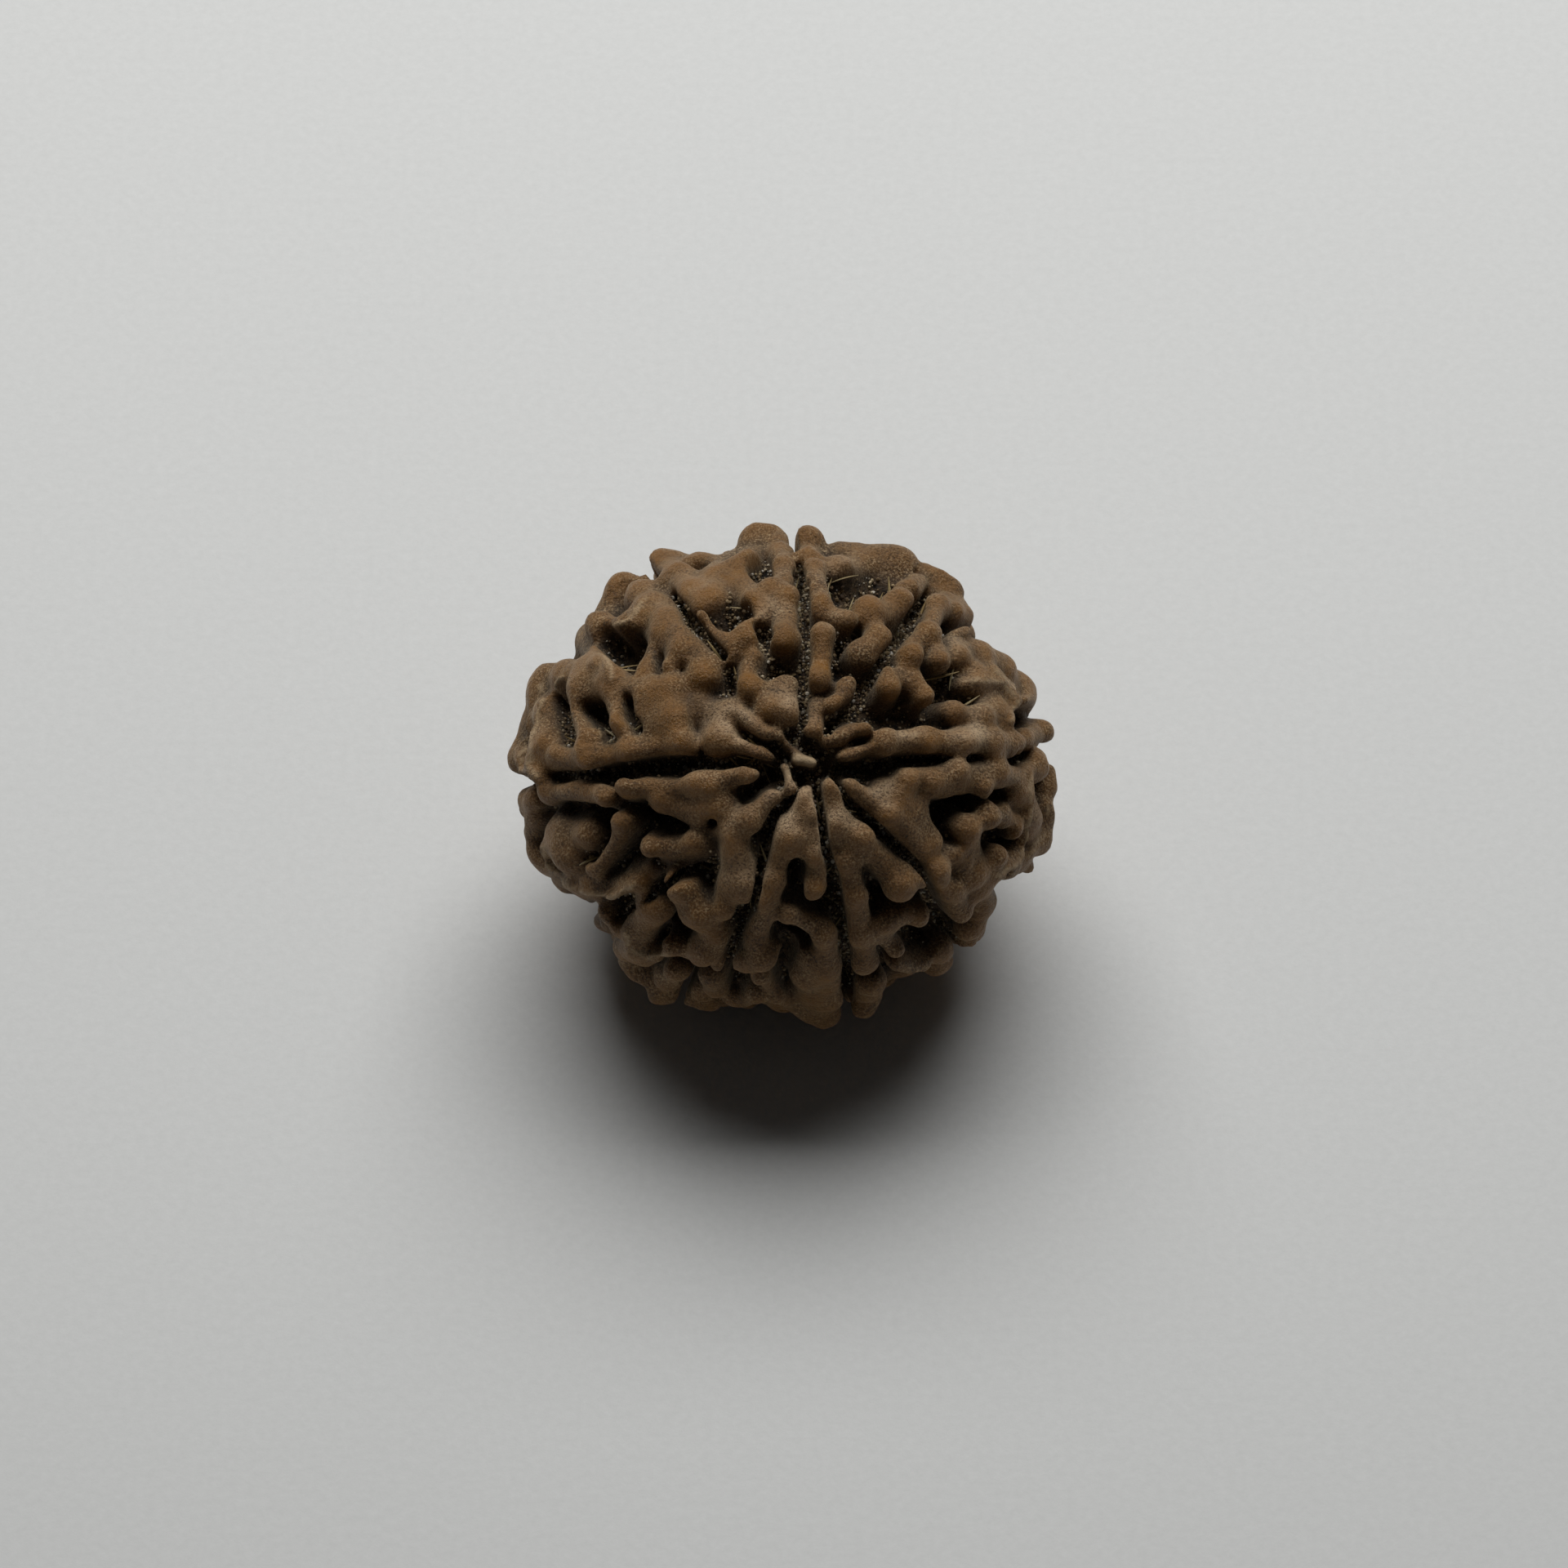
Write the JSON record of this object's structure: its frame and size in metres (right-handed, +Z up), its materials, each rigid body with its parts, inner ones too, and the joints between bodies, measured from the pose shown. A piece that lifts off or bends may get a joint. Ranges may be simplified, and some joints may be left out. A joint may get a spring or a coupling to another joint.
{
  "type": "rudraksha bead",
  "caption": "Natural dried fruit stone bead, a slightly flattened ball with deep pole-to-pole grooves and worm-like ridges, resting on a small flat.",
  "frame": {"origin": "centre of the bounding box, on the surface that the bead rests on", "axes": "+Z up, +X along the bead's widest side, and the seen pole faces up and towards -Y"},
  "size_m": [0.0276, 0.0236, 0.0228],
  "materials": {
    "kernel": "matte dusty brown with worn amber crests and dark crevices"
  },
  "bodies": {
    "root": {"bead": "kernel"}
  },
  "joints": []
}
